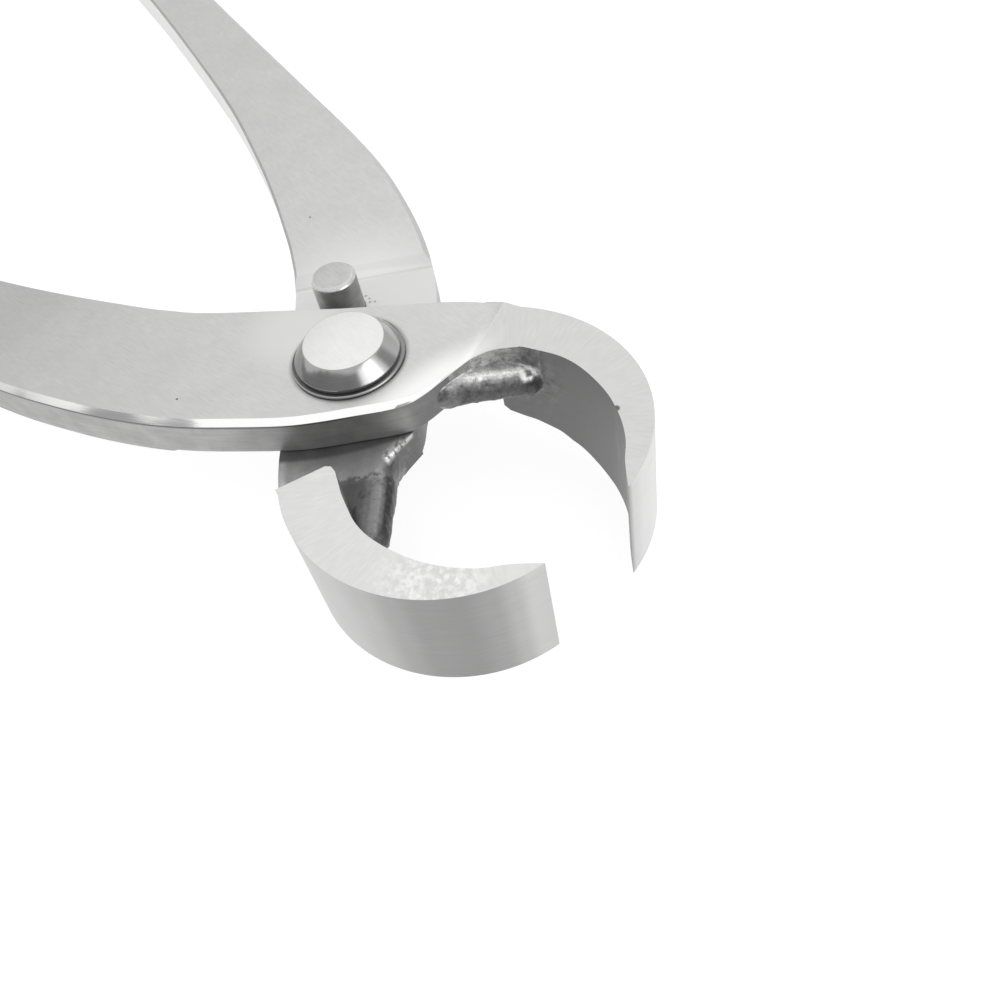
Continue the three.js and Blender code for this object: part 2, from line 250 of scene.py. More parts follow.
def apply_modifier(piece, kind, **settings):
    focus(piece)
    modifier = piece.modifiers.new(kind.lower(), kind)
    for key, value in settings.items():
        setattr(modifier, key, value)
    bpy.ops.object.modifier_apply(modifier=modifier.name)


def closed_place(point, side):
    """A row place in metres as a place in mm on the closed half, with its jaw on +Y."""
    turned = Matrix.Rotation(-side * REST_OPENING / 2, 3, "Z") @ Vector(point)
    return Vector((turned.x, side * turned.y, turned.z)) / MM


def closed_way(direction, side):
    turned = Matrix.Rotation(-side * REST_OPENING / 2, 3, "Z") @ Vector(direction)
    return Vector((turned.x, side * turned.y, turned.z))


def row_place(point, side):
    """A place in mm on the closed half as a row place in metres."""
    flipped = Vector((point[0], side * point[1], point[2])) * MM
    return Matrix.Rotation(side * REST_OPENING / 2, 3, "Z") @ flipped


def lattice(low, high, step):
    return [low + step * i for i in range(int((high - low) / step) + 1)]


# Materials

def add_node(tree, kind, inputs=None, **settings):
    node = tree.nodes.new(kind)
    for key, value in settings.items():
        setattr(node, key, value)
    for key, value in (inputs or {}).items():
        if isinstance(value, bpy.types.NodeSocket):
            tree.links.new(value, node.inputs[key])
        else:
            node.inputs[key].default_value = value
    return node


class Steel:
    """A steel finish whose tone is built up from curves, grain and patches, on the closed half's own axes."""

    def __init__(self, name, tone, roughness, side=None):
        self.material = bpy.data.materials.new(name)
        self.material.use_nodes = True
        self.tree = self.material.node_tree
        self.tree.nodes.clear()
        texture_places = self.node("ShaderNodeTexCoord")
        self.place = texture_places.outputs["Object"]
        self.normal = texture_places.outputs["Normal"]
        if side:
            self.place = self.node(
                "ShaderNodeMapping",
                {"Vector": self.place, "Rotation": (0, 0, -REST_OPENING / 2), "Scale": (1, side, 1)},
            ).outputs[0]
        self.tone = tone
        self.roughness = roughness
        self.height = 0.0

    def node(self, kind, inputs=None, **settings):
        return add_node(self.tree, kind, inputs, **settings)

    def math(self, operation, a, b=0.0, c=0.0, clamp=False):
        return self.node(
            "ShaderNodeMath", {0: a, 1: b, 2: c}, operation=operation, use_clamp=clamp
        ).outputs[0]

    def noise(self, size, detail=3.0, turn=0.0, stretch=(1, 1, 1), source=None):
        """Noise with features of about size mm, stretched along its own turned axes."""
        mapping = self.node(
            "ShaderNodeMapping",
            {
                "Vector": source or self.place,
                "Rotation": (0, 0, turn),
                "Scale": [1 / (size * MM * s) for s in stretch],
            },
        )
        return self.node(
            "ShaderNodeTexNoise", {"Vector": mapping.outputs[0], "Scale": 1, "Detail": detail}
        ).outputs["Fac"]

    def part(self, name, source=None):
        return self.node("ShaderNodeSeparateXYZ", {0: source or self.place}).outputs[name]

    def rise(self, value, start, end):
        """Nothing at start, rising smoothly to one at end."""
        return self.node(
            "ShaderNodeMapRange", {"Value": value, "From Min": start, "From Max": end},
            interpolation_type="SMOOTHSTEP",
        ).outputs[0]

    def rise_mm(self, length, start, end):
        """The same for a length in metres, with start and end in mm."""
        return self.rise(length, start * MM, end * MM)

    def near(self, centre, reach, inner=0.0, source=None):
        """One at a place in mm, falling to nothing at reach mm from it."""
        spot = [v * MM for v in centre]
        away = self.node(
            "ShaderNodeVectorMath", {0: source or self.place, 1: spot}, operation="DISTANCE"
        ).outputs["Value"]
        return self.rise_mm(away, reach, inner)

    def along(self, centre, way):
        """Distance in metres along a direction from a place in mm."""
        way = Vector(way).normalized()
        reach = self.node(
            "ShaderNodeVectorMath", {0: self.place, 1: way}, operation="DOT_PRODUCT"
        ).outputs["Value"]
        return self.math("SUBTRACT", reach, way.dot(Vector(centre)) * MM)

    def band(self, centre, way, width):
        """One on the plane through a place across a direction, falling to nothing at width mm."""
        return self.rise_mm(self.math("ABSOLUTE", self.along(centre, way)), width, 0)

    def from_pivot(self):
        flat = self.node("ShaderNodeVectorMath", {0: self.place, 1: (1, 1, 0)}, operation="MULTIPLY")
        return self.node("ShaderNodeVectorMath", {0: flat.outputs[0]}, operation="LENGTH").outputs["Value"]

    def jaw_angle(self):
        """Angle round the jaw's axis from the cutting edge, in right angles."""
        across = self.math("SUBTRACT", self.part("X"), JAW_CENTRE * MM)
        angle = self.math("ARCTAN2", self.part("Y"), across)
        return self.math("DIVIDE", angle, math.pi / 2)

    def jaw_polar(self):
        """The place as angle round the jaw's axis, distance from it and height, all as lengths."""
        across = self.math("SUBTRACT", self.part("X"), JAW_CENTRE * MM)
        arc = self.math("MULTIPLY", self.math("ARCTAN2", self.part("Y"), across), JAW_RADIUS * MM)
        flat = self.node("ShaderNodeCombineXYZ", {0: across, 1: self.part("Y")}).outputs[0]
        reach = self.node("ShaderNodeVectorMath", {0: flat}, operation="LENGTH").outputs["Value"]
        return self.node("ShaderNodeCombineXYZ", {0: arc, 1: reach, 2: self.part("Z")}).outputs[0]

    def curve(self, value, stops):
        """A tone that follows a value through (position, tone) stops."""
        ramp = self.node("ShaderNodeValToRGB", {0: value})
        ramp.color_ramp.interpolation = "EASE"
        points = ramp.color_ramp.elements
        while len(points) < len(stops):
            points.new(0.5)
        for point, (position, tone) in zip(points, stops):
            point.position = position
            point.color = (tone, tone, tone, 1)
        return ramp.outputs[0]

    def both(self, mask, *others):
        """One only where every mask is one."""
        for other in others:
            mask = self.math("MULTIPLY", mask, other)
        return mask

    def scale(self, factor):
        self.tone = self.math("MULTIPLY", self.tone, factor)

    def vary(self, pattern, amount):
        """Lets a pattern around one half push the tone up or down."""
        self.scale(self.math("MULTIPLY_ADD", pattern, amount, 1 - amount / 2))

    def lay(self, mask, tone, amount=1.0):
        """Lays a tone over the finish where the mask is high."""
        factor = self.math("MULTIPLY", mask, amount, clamp=True)
        mixed = self.node("ShaderNodeMix", {0: factor, 2: self.tone, 3: tone}, data_type="FLOAT")
        self.tone = mixed.outputs[0]

    def raise_by(self, pattern, amount):
        self.height = self.math("MULTIPLY_ADD", pattern, amount, self.height)

    def ragged(self, size, swing):
        """The place, pushed about by up to swing mm so that marks get uneven borders."""
        cells = self.node(
            "ShaderNodeTexNoise", {"Vector": self.place, "Scale": 1 / (size * MM), "Detail": 3}
        ).outputs["Color"]
        push = self.node(
            "ShaderNodeVectorMath", {0: cells, 1: [2 * swing * MM] * 3, 2: [-swing * MM] * 3},
            operation="MULTIPLY_ADD",
        )
        pushed = self.node("ShaderNodeVectorMath", {0: self.place, 1: push.outputs[0]}, operation="ADD")
        return pushed.outputs[0]

    def specks(self, size, share):
        cells = self.node(
            "ShaderNodeTexVoronoi", {"Vector": self.place, "Scale": 1 / (size * MM)}
        ).outputs["Distance"]
        return self.rise(cells, share, 0)

    def finish(self, bump, depth, rough_pattern=None, rough_swing=0.0, metallic=1.0):
        """Closes the finish. depth is the height in mm that a full step of the pattern stands for."""
        blue = self.math("MULTIPLY", self.tone, 0.995)
        colour = self.node("ShaderNodeCombineColor", {0: self.tone, 1: self.tone, 2: blue}).outputs[0]
        shader = self.node("ShaderNodeBsdfPrincipled", {"Base Color": colour})
        shader.inputs["Metallic"].default_value = metallic
        shader.inputs["Roughness"].default_value = self.roughness
        if rough_pattern is not None:
            swing = self.math("MULTIPLY_ADD", rough_pattern, rough_swing, self.roughness - rough_swing / 2)
            self.tree.links.new(swing, shader.inputs["Roughness"])
        bumped = self.node(
            "ShaderNodeBump", {"Height": self.height, "Strength": bump, "Distance": depth * MM}
        )
        self.tree.links.new(bumped.outputs[0], shader.inputs["Normal"])
        output = self.node("ShaderNodeOutputMaterial")
        self.tree.links.new(shader.outputs[0], output.inputs[0])
        return self.material


def painted_front_highlight(steel):
    """Painted highlight: one along the upper plate's front edge and up the ramp, where the ground face turns
    to the light.
    """
    across = steel.along((8.7, 0, 0), (1, -0.29, 0))
    band = steel.both(steel.rise_mm(across, -2.7, 0.9), steel.rise_mm(across, 2.7, 1.5))
    ends = steel.both(
        steel.rise_mm(steel.part("Y"), 11.5, 3.5), steel.rise_mm(steel.part("Y"), -9.5, -5)
    )
    return steel.both(band, ends)


def handle_flat(name, side, looks):
    """Ground flat faces of plate and handle: fine slanting grain, faint clouds and a few dark specks, with
    painted light and shade: lighter round the pivot and the stop pin, darker towards the upper handle's end,
    a painted highlight along the front edge and ramp, a painted shadow round the rivet and a painted shade
    line at the shoulder.
    """
    steel = Steel(name, looks.ground_tone, looks.ground_roughness, side)
    grain = steel.noise(0.2, 2, math.radians(38), (9, 1, 1))
    cross_grain = steel.noise(0.16, 2, math.radians(-30), (7, 1, 1))
    clouds = steel.noise(5, 4)
    steel.vary(grain, 0.2)
    steel.vary(cross_grain, 0.1)
    steel.vary(clouds, 0.16)
    steel.vary(steel.noise(1.1, 3), 0.08)
    steel.raise_by(grain, 1)
    steel.raise_by(cross_grain, 0.5)
    if side == UPPER:
        # Painted shade: the upper handle darkens towards its end
        painted_shade_towards_end = steel.rise_mm(steel.part("X"), -28, -45)
        steel.scale(steel.math("MULTIPLY_ADD", painted_shade_towards_end, -0.13, 1))
        # Painted light: the upper plate is lighter round the pivot
        steel.lay(steel.near((-8.5, 0, UPPER_TOP), 8, 2), looks.ground_tone * 1.12)
        # Painted highlight along the plate's front edge and up the ramp
        steel.lay(painted_front_highlight(steel), 0.74)
        # Painted highlight: the face grows lighter from the ramp on towards the jaw
        ramp = steel.rise_mm(steel.along(RAMP_PLACE, RAMP_WAY), 0.3, 1.8)
        steel.scale(steel.math("MULTIPLY_ADD", ramp, 0.12, 1))
        steel.lay(steel.near(UPPER_SPECK, 0.2, 0.07), 0.05, 0.9)
        # Painted shadow of the rivet head on the plate round its washer
        steel.lay(steel.near((0, 0, UPPER_TOP), 6.9, 6.3), 0.14, 0.6)
    else:
        steel.lay(steel.near(LOWER_SPECK, 0.2, 0.07), 0.05, 0.9)
        # Painted light: the lower handle is lighter round the stop pin
        steel.lay(steel.near((-14, -8, LOWER_HANDLE_TOP), 16, 2), looks.ground_tone * 1.2)
        # Painted shade line along the shoulder of the lap's recess
        shoulder = steel.band(SHOULDER_PLACE, SHOULDER_WAY, 0.3)
        steel.lay(shoulder, looks.ground_tone * 0.85, 0.45)
    return steel.finish(0.3, 0.008, clouds, 0.12)


def jaw_flat(name, side, looks):
    """Ground tops and undersides of the jaws, with faint streaks across the wall, the lower jaw painted
    lighter than the upper as painted light, and a painted highlight along the upper front edge.
    """
    # Painted light: the lower jaw's flats are set lighter than the upper jaw's
    share = 1.04 if side == UPPER else 1.17
    steel = Steel(name, looks.ground_tone * share, looks.ground_roughness + 0.02, side)
    streaks = steel.noise(0.25, 3, 0, (1, 7, 1), steel.jaw_polar())
    clouds = steel.noise(3, 4)
    steel.vary(streaks, 0.2)
    steel.vary(clouds, 0.14)
    steel.raise_by(streaks, 1)
    if side == UPPER:
        # Painted highlight along the front edge and up the ramp
        steel.lay(painted_front_highlight(steel), 0.74)
        steel.lay(steel.near(JAW_NICK, 0.5, 0.25), 0.08, 0.9)
    else:
        patch = steel.near((30.5, 8.5, JAW_TOP), 7, 2)
        mottle = steel.noise(0.6, 8)
        steel.lay(steel.both(patch, steel.rise(mottle, 0.42, 0.66)), 0.82, 0.5)
        steel.lay(steel.both(patch, steel.rise(mottle, 0.5, 0.3)), 0.48, 0.4)
    return steel.finish(0.3, 0.01, clouds, 0.12)


def bright_chamfer(name, side, looks):
    """The polished outer chamfer, painted near white partly as a highlight, brightest round the plate, with
    painted shade making it duller towards the handle's end.
    """
    steel = Steel(name, looks.chamfer_tone, 0.07, side)
    grain = steel.noise(0.16, 3, 0, (8, 8, 1))
    steel.vary(grain, 0.08)
    # Painted shade: the chamfer darkens towards the handle's end
    steel.lay(steel.rise_mm(steel.part("X"), -12, -42), looks.chamfer_tone * 0.62)
    steel.raise_by(grain, 1)
    return steel.finish(0.2, 0.006)


def soft_edge(name, side, looks):
    """The narrow inner chamfer, worn, and painted a little darker than the faces beside it as shade."""
    steel = Steel(name, 0.4, 0.4, side)
    steel.vary(steel.noise(0.9, 4), 0.5)
    return steel.finish(0.1, 0.005)


def forged_side(name, side, looks):
    """Sides of the plate and handle, held dark as painted shade: darkest and streaked at the joint, paler
    along the handle, with a painted shadow line under the outer chamfer.
    """
    # Painted shade: the sides' tones are held low, darkest at the joint
    steel = Steel(name, looks.side_dark, 0.45, side)
    streaks = steel.noise(0.3, 4, 0, (16, 16, 1))
    clouds = steel.noise(2.2, 5)
    steel.lay(steel.rise_mm(steel.from_pivot(), 9.5, 18.5), looks.side_light)
    steel.lay(steel.near((9.2, -3, -5), 2.6, 0.6), looks.side_dark * 1.35)
    steel.lay(steel.rise_mm(steel.part("X"), 9.4, 10.8), looks.side_dark * 0.85)
    steel.vary(streaks, 0.36)
    steel.vary(clouds, 0.6)
    top = UPPER_TOP if side == UPPER else LOWER_HANDLE_TOP
    # Painted shadow: a thin dark line under the outer chamfer
    painted_shadow_under_chamfer = steel.band((0, 0, top - OUTER_CHAMFER - 0.1), (0, 0, 1), 0.3)
    behind_front = steel.rise_mm(steel.part("X"), 6.8, 4)
    steel.lay(steel.both(painted_shadow_under_chamfer, behind_front), 0.06, 0.75)
    if side == LOWER:
        forge_front(steel)
    steel.raise_by(streaks, 1)
    return steel.finish(0.5, 0.02, clouds, 0.16, 0.6)


def forge_front(steel):
    """The lower half's blunt front: a painted highlight on the rough ridge along the lap's end, and dull grey
    below it.
    """
    front = steel.rise_mm(steel.part("X"), 7, 9.5)
    steel.lay(front, 0.2)
    mottle = steel.noise(0.5, 4)
    steel.lay(steel.both(front, steel.rise(mottle, 0.52, 0.7)), 0.3, 0.6)
    lap_ridge_highlight(steel)


def lap_ridge_highlight(steel):
    """A painted highlight on the rough ridge that the die left along the front of the lower half's lap."""
    across = steel.along((10.95, 1.2, 0), (0.97, -0.24, 0))
    ends = steel.near((10.9, 1.1, -7.5), 2.6, 1.9)
    inner = steel.rise_mm(across, -1.7, -0.4)
    rough = steel.rise(steel.noise(0.5, 5), 0.34, 0.52)
    high = steel.rise_mm(steel.part("Z"), -8.2, -7.6)
    # Painted highlight along the ridge's crest
    steel.lay(steel.both(inner, ends, high, rough), 0.95, 0.9)


def lower_lap_end(steel):
    """Painted light and shade that run on over the lower lap's end and the web beside it: lighter and darker
    bands across the web, mottled, with a pitted crease and two spots by the ridge's end painted dark as
    shade.
    """
    inland = steel.along((16.33, 6.98, 0), (-0.6, 0.8, 0))
    # Painted light and shade: tones by distance inland stand for the web's lit and shaded faces
    web = steel.curve(steel.math("MULTIPLY_ADD", inland, 1 / (5 * MM), 0.3), (
        (0.05, 0.26), (0.13, 0.2), (0.19, 0.09), (0.25, 0.09), (0.32, 0.18), (0.38, 0.25), (0.48, 0.21),
        (0.62, 0.13), (0.76, 0.08), (1.0, 0.07),
    ))
    wander = steel.math("MULTIPLY_ADD", steel.noise(1.6, 3), 1.6 * MM, -0.8 * MM)
    past_crease = steel.math("ADD", steel.along((11.7, 6.5, 0), (0.883, 0.469, 0)), wander)
    steel.lay(steel.rise_mm(past_crease, -0.6, 0.8), web)
    # Painted shade in the crease
    crease = steel.both(
        steel.rise_mm(past_crease, -0.8, -0.1), steel.rise_mm(past_crease, 0.8, 0.1)
    )
    ragged = steel.rise(steel.noise(0.6, 4), 0.4, 0.56)
    steel.lay(steel.both(crease, ragged), 0.06, 0.75)
    # Painted shade by the ridge's end and below it
    ridge_end = steel.near((12.1, 2.9, -8.6), 2.0, 0.7)
    steel.lay(ridge_end, 0.12, 0.7)
    steel.lay(steel.near((11.2, 1.6, -9.3), 1.8, 0.9), 0.17, 0.85)


def inner_side(name, side, looks):
    """The handle's rounded inner side, which stays pale."""
    steel = Steel(name, 0.74, 0.4, side)
    steel.vary(steel.noise(0.3, 4, 0, (16, 16, 1)), 0.16)
    steel.vary(steel.noise(4, 3), 0.14)
    return steel.finish(0.2, 0.01)


def jaw_outside(name, side, looks):
    """The jaw's brushed outer wall, with painted light and shade round its curve: darker in the middle of the
    curve.
    """
    steel = Steel(name, 0.6, 0.32, side)
    # Painted light and shade: tones by angle round the jaw stand for the reflections along its curve
    stops = (
        (0.0, 0.6), (0.07, 0.62), (0.14, 0.5), (0.22, 0.39), (0.34, 0.33), (0.5, 0.34), (0.6, 0.4),
        (0.72, 0.5), (0.86, 0.56), (1.0, 0.56),
    )
    if side == UPPER:
        stops = ((0.0, 0.4), (0.03, 0.66), (0.12, 0.74), (0.25, 0.76), (0.5, 0.5), (1.0, 0.6))
    steel.tone = steel.math("MULTIPLY", steel.curve(steel.jaw_angle(), stops), 0.92)
    brush = steel.noise(0.16, 3, 0, (26, 26, 1))
    clouds = steel.noise(5, 3)
    steel.vary(brush, 0.2)
    steel.vary(clouds, 0.08)
    steel.raise_by(brush, 1)
    return steel.finish(0.3, 0.01, clouds, 0.08)


def jaw_inside(name, side, looks):
    """The hollow ground inner wall: held dark as painted shade, with a paler strip towards the cutting edge.
    """
    # Painted shade: the inner wall's low tone
    steel = Steel(name, 0.225, 0.5, side)
    clouds = steel.noise(2.4, 4)
    blotches = steel.noise(0.8, 5)
    grain = steel.noise(0.14, 2, 0, (3, 3, 1))
    upright = steel.noise(0.2, 3, 0, (1, 1, 16))
    steel.vary(clouds, 0.3)
    steel.vary(grain, 0.16)
    steel.lay(steel.rise_mm(steel.part("X"), 18.5, 21.5), 0.225, 0.7)
    web_end = steel.near((16.5, 10, -6.5), 5.5, 1)
    steel.lay(steel.both(web_end, steel.rise(blotches, 0.52, 0.66)), 0.4, 0.5)
    steel.lay(steel.both(web_end, steel.rise(blotches, 0.45, 0.34)), 0.07, 0.5)
    strip = steel.rise_mm(steel.along((28.9, 0, 0), (1, 0, 0)), -0.3, 0.3)
    ground = steel.math("MULTIPLY_ADD", upright, 0.24, 0.13)
    steel.lay(strip, ground)
    steel.lay(steel.rise_mm(steel.part("X"), 34.2, 34.6), 0.32)
    steel.raise_by(grain, 1)
    return steel.finish(0.3, 0.008, None, 0, 0.75)


def lap_face(name, side, looks):
    """The sliding face of the half-lap: dark and mottled by the jaw, lighter on the handle's side; on the
    lower half, the painted light and shade of the web and ridge run on over it, with a painted shadow under
    the upper plate's edge.
    """
    steel = Steel(name, 0.2, 0.42, side)
    clouds = steel.noise(2.2, 5)
    grain = steel.noise(0.2, 3)
    if side == LOWER:
        steel.tone = 0.34
        steel.lay(steel.near((9.5, 7.5, LOWER_LAP), 5.5, 1), 0.25)
        lower_lap_end(steel)
        steel.lay(steel.band((4.6, 12.5, 0), (-0.49, 0.87, 0), 0.8), 0.55, 0.8)
        lap_ridge_highlight(steel)
        # Painted shadow of the upper plate's edge on the lower lap
        painted_plate_shadow = steel.near(PLATE_ARC_CENTRE, *PLATE_ARC_SHADE)
        steel.lay(painted_plate_shadow, 0.11, 0.8)
    steel.vary(clouds, 0.7)
    steel.vary(grain, 0.4)
    steel.lay(steel.rise_mm(steel.part("X"), 1, -1.5), looks.ground_tone * 1.25)
    if side == LOWER:
        uneven = steel.ragged(0.5, 0.25)
        for x, y in PIN_BURR:
            steel.lay(steel.near((x, y, LOWER_LAP), 0.24, 0.08, uneven), 0.12, 0.6)
    steel.raise_by(grain, 1)
    return steel.finish(0.4, 0.012, None, 0, 0.7)


def cast_skin(name, side, looks):
    """The webs' rough skin as it left the die, with painted light and shade: a painted highlight on its
    crests, painted shade below, and small pits darkened as painted shade.
    """
    steel = Steel(name, 0.3, 0.42, side)
    clouds = steel.noise(1.4, 5)
    mottle = steel.noise(0.45, 4)
    pits = steel.specks(0.8, 0.2)
    lean = steel.part("Z", steel.normal)
    if side == UPPER:
        edge = steel.along((12.65, 3.05, 0), (0.77, -0.64, 0))
        edge_share = steel.math("MULTIPLY_ADD", edge, 1 / (4 * MM), 0.9)
        # Painted light and shade: tones across the upper web's edge stand for its lit crest and shaded flank
        steel.tone = steel.curve(edge_share, (
            (0.2, 0.2), (0.36, 0.26), (0.48, 0.34), (0.56, 0.56), (0.63, 0.78), (0.69, 0.5), (0.75, 0.23),
            (0.82, 0.15), (0.94, 0.14),
        ))
        upright = steel.rise(steel.math("ABSOLUTE", lean), 0.5, 0.25)
        high = steel.rise_mm(steel.part("Z"), -5.2, -4.4)
        inland = steel.rise_mm(edge, -0.5, -1)
        drop = steel.both(upright, high, inland)
        forward = steel.math("MULTIPLY_ADD", steel.part("X"), 1 / (8 * MM), -11 / 8)
        # Painted light and shade on the drop from the jaw's rim down to the web
        steel.lay(drop, steel.curve(forward, ((0.2, 0.56), (0.4, 0.48), (0.66, 0.24))))
        steel.lay(steel.rise_mm(steel.part("X"), 12.8, 11.8), 0.34, 0.6)
    else:
        lower_lap_end(steel)
        lap_ridge_highlight(steel)
    steel.vary(clouds, 0.7)
    steel.vary(mottle, 0.8 if side == UPPER else 0.6)
    steel.vary(steel.noise(0.2, 3), 1.0 if side == UPPER else 0.5)
    # Small pits painted dark as shade
    steel.lay(pits, 0.05, 0.5)
    if side == UPPER:
        uneven = steel.ragged(0.6, 0.35)
        # Painted highlights on the burr round the largest pit and on the crest's brightest spot
        steel.lay(steel.near(WEB_BLOB, 1.0, 0.45, uneven), 0.9, 0.85)
        steel.lay(steel.near(WEB_HIGHLIGHT, 0.45, 0.1, uneven), 0.9, 0.7)
        steel.lay(steel.near((11.4, 1.6, -4.2), 1.1, 0.5, uneven), 0.15, 0.9)
        # Pits painted dark as shade
        for centre, reach in WEB_PITS:
            steel.lay(steel.near(centre, reach * 1.5, reach * 0.6, uneven), 0.07, 0.9)
    steel.raise_by(mottle, 1)
    steel.raise_by(pits, -0.7)
    return steel.finish(0.7, 0.06, mottle, 0.3, 0.7)


def turned_top(name, side, looks):
    """The faced flat of a turned piece, with faint grain."""
    steel = Steel(name, looks.turned_tone, 0.3)
    grain = steel.noise(0.2, 3, math.radians(20), (8, 1, 1))
    clouds = steel.noise(2.2, 3)
    steel.vary(grain, 0.16)
    steel.vary(clouds, 0.1)
    steel.raise_by(grain, 1)
    return steel.finish(0.25, 0.005)


def pin_top(name, side, looks):
    """The stop pin's brushed top, duller than the rivet's."""
    steel = Steel(name, 0.44, 0.34)
    grain = steel.noise(0.2, 3, math.radians(70), (8, 1, 1))
    steel.vary(grain, 0.3)
    steel.vary(steel.noise(1.4, 4), 0.24)
    steel.raise_by(grain, 1)
    return steel.finish(0.3, 0.006)


def polished(name, side, looks):
    """Polished bevels, with fine turning marks round the piece."""
    steel = Steel(name, 0.4, 0.14)
    rings = steel.noise(0.12, 2, 0, (20, 20, 1))
    steel.vary(rings, 0.14)
    steel.raise_by(rings, 1)
    return steel.finish(0.15, 0.003, rings, 0.08)


def bright_bevel(name, side, looks):
    """The stop pin's small worn bevel."""
    steel = Steel(name, 0.6, 0.25)
    steel.vary(steel.noise(0.3, 3), 0.3)
    return steel.finish(0.1, 0.003)


def pin_side(name, side, looks):
    """The stop pin's upright side, darkened as painted shade but lighter than the rims round the rivet."""
    steel = Steel(name, 0.32, 0.35)
    steel.vary(steel.noise(0.5, 4, 0, (3, 3, 1)), 0.6)
    return steel.finish(0.1, 0.004, None, 0, 0.5)


def washer_ring(name, side, looks):
    """The washer: painted shade makes it dark by the rivet head, painted light makes it lighter on one side,
    and a painted highlight lies on a thin rim below.
    """
    steel = Steel(name, 0.09, 0.35)
    steel.vary(steel.noise(0.5, 4), 0.6)
    # Painted light: lighter towards one side
    steel.lay(steel.rise_mm(steel.along((0, 0, 0), (0.69, 0.71, 0)), 3, 6), 0.3, 0.7)
    # Painted highlight on the thin rim below the rivet
    below = steel.rise_mm(steel.along((0, 0, 0), (0.51, -0.61, 0)), 0.5, 4)
    rim = steel.both(below, steel.rise_mm(steel.from_pivot(), 6.14, 6.2))
    steel.lay(rim, 0.5, 0.8)
    return steel.finish(0.1, 0.004, None, 0, 0.7)


def painted_shade_rim(name, side, looks):
    """Upright sides of the turned pieces, painted dark as shade."""
    steel = Steel(name, 0.13, 0.35)
    steel.vary(steel.noise(0.5, 4, 0, (3, 3, 1)), 0.6)
    return steel.finish(0.1, 0.004, None, 0, 0.5)


def by_name(*finishes):
    return {finish.__name__: finish for finish in finishes}


HALF_FINISHES = by_name(
    handle_flat, jaw_flat, bright_chamfer, soft_edge, forged_side, inner_side, jaw_outside, jaw_inside,
    lap_face, cast_skin,
)
HALF_SLOTS = list(HALF_FINISHES)
CAST_SKIN = HALF_SLOTS.index("cast_skin")
TURNED_FINISHES = by_name(
    turned_top, pin_top, polished, bright_bevel, pin_side, washer_ring, painted_shade_rim,
)


# The two forged halves

def fresh_copy(node, name):
    """A merged copy of a CAD node as a mesh of its own."""
    source = frame["nodes"][node]
    piece = source.copy()
    piece.data = source.data.copy()
    piece.name = name
    piece.data.name = name
    piece.parent = None
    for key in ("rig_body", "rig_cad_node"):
        del piece[key]
    bpy.context.scene.collection.objects.link(piece)
    piece.data.materials.clear()
    with editing(piece):
        bpy.ops.mesh.select_all(action="SELECT")
        bpy.ops.mesh.remove_doubles(threshold=MERGE_DISTANCE)
        bpy.ops.mesh.dissolve_limited(angle_limit=LEVEL_ANGLE)
        bpy.ops.mesh.customdata_custom_splitnormals_clear()
    return piece


def close_slivers(piece, side):
    """Draws the crowded points of each sliver together into one."""
    for centre, reach in WEB_SLIVERS:
        spot = row_place(centre, side)
        for vertex in piece.data.vertices:
            if (vertex.co - spot).length < reach * MM:
                vertex.co = spot
    with editing(piece, "VERT"):
        bpy.ops.mesh.select_all(action="SELECT")
        bpy.ops.mesh.remove_doubles(threshold=MERGE_DISTANCE)


def inside(place, box):
    return all(low < value < high for value, (low, high) in zip(place, box))


def on_web(place, normal, side):
    """Whether a face belongs to the rough skin of a web or to the drop from the jaw's rim down to it."""
    upright = abs(normal.z) < 0.1
    if side == LOWER:
        wall = upright and place.y > 9.4
        return inside(place, LOWER_WEB) and not wall
    start = inside(place, UPPER_WEB_START) and normal.z > 0.05
    level = normal.z > 0.985 or abs(place.z - UPPER_LAP) < LEVEL_SLACK
    ramp = 0.94 < normal.z < 0.985 and place.z > UPPER_TOP - 0.3
    wall = upright and (place.z < UPPER_LAP or place.x > 18.4)
    return (inside(place, UPPER_WEB) or start) and not (level or ramp or wall)


def region_of(piece, face, side):
    """The finish that belongs on a face of a half as it comes from the CAD."""
    place = closed_place(face.center, side)
    normal = closed_way(face.normal, side)
    heights = [piece.data.vertices[i].co.z / MM for i in face.vertices]
    tall = max(heights) - min(heights)
    lap = UPPER_LAP if side == UPPER else LOWER_LAP
    if on_web(place, normal, side):
        return "cast_skin"
    if abs(normal.z) > LEVEL_LEAN:
        if abs(place.z - lap) < LEVEL_SLACK:
            return "lap_face"
        on_jaw = abs(place.z - JAW_TOP) < LEVEL_SLACK or place.z < JAW_BOTTOM + 5
        return "jaw_flat" if on_jaw and place.x > 5 else "handle_flat"
    if abs(normal.z) > SLOPING_LEAN:
        if place.x > JAW_START:
            return "jaw_flat"
        outer = normal.y < 0.2
        if outer and side == LOWER and abs(place.z - LOWER_HANDLE_TOP) < CHAMFER_ZONE:
            return "handle_flat"
        on_top = abs(place.z - UPPER_TOP) < CHAMFER_ZONE
        return "bright_chamfer" if outer and on_top else "soft_edge"
    if place.x > JAW_START and (tall > 5 or place.y > 9.2):
        outward = normal.x * (place.x - JAW_CENTRE) + normal.y * place.y
        return "jaw_outside" if outward > 0 else "jaw_inside"
    return "inner_side" if normal.y > 0.1 and place.x < HANDLE_START else "forged_side"


def paint_half(piece, side, looks):
    prefix = "upper_" if side == UPPER else "lower_"
    for name, finish in HALF_FINISHES.items():
        piece.data.materials.append(finish(prefix + name, side, looks))
    for face in piece.data.polygons:
        face.material_index = HALF_SLOTS.index(region_of(piece, face, side))


def edge_pairs(mesh):
    """Every edge between two faces, with the faces."""
    around = {}
    for face in mesh.polygons:
        for key in face.edge_keys:
            around.setdefault(key, []).append(face)
    return [(edge, around[edge.key]) for edge in mesh.edges if len(around.get(edge.key, [])) == 2]


